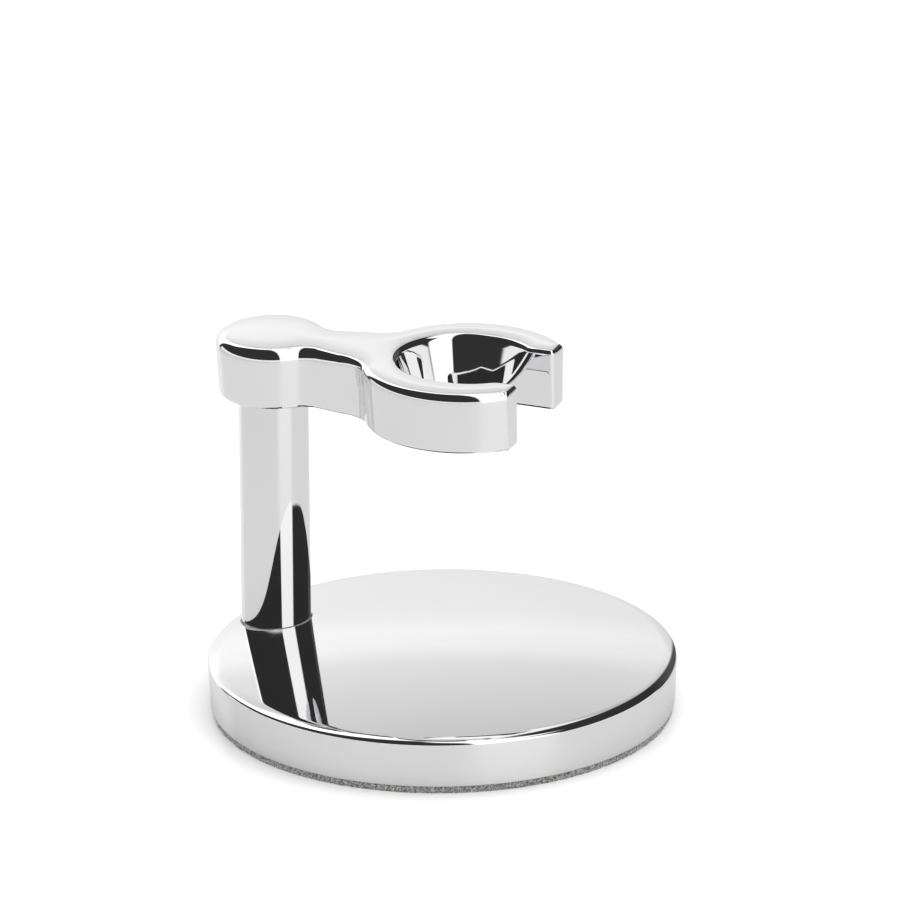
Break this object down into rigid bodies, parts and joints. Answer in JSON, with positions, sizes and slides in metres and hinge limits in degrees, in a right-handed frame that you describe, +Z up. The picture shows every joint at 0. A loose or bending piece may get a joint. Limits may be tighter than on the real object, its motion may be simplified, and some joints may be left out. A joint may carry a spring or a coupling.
{
  "type": "razor stand",
  "caption": "Low chromed stand with a round weighted base on felt, an off-centre column and an arm whose open ring steadies an upright razor.",
  "frame": {"origin": "centre of the felt pad's underside, on the table", "axes": "+Z up, +X from the column's axis towards the middle of the base"},
  "size_m": [0.0666, 0.065, 0.0512],
  "materials": {
    "chrome": "mirror-bright plating",
    "felt": "grey pressed felt",
    "gasket": "milky translucent",
    "steel": "zinc-plated"
  },
  "bodies": {
    "root": {"felt_pad": "felt", "base": "chrome", "column_gasket": "gasket", "column": "chrome", "arm": "chrome", "foot_screw": "steel", "lock_washer": "steel", "arm_stud": "steel"}
  },
  "joints": []
}
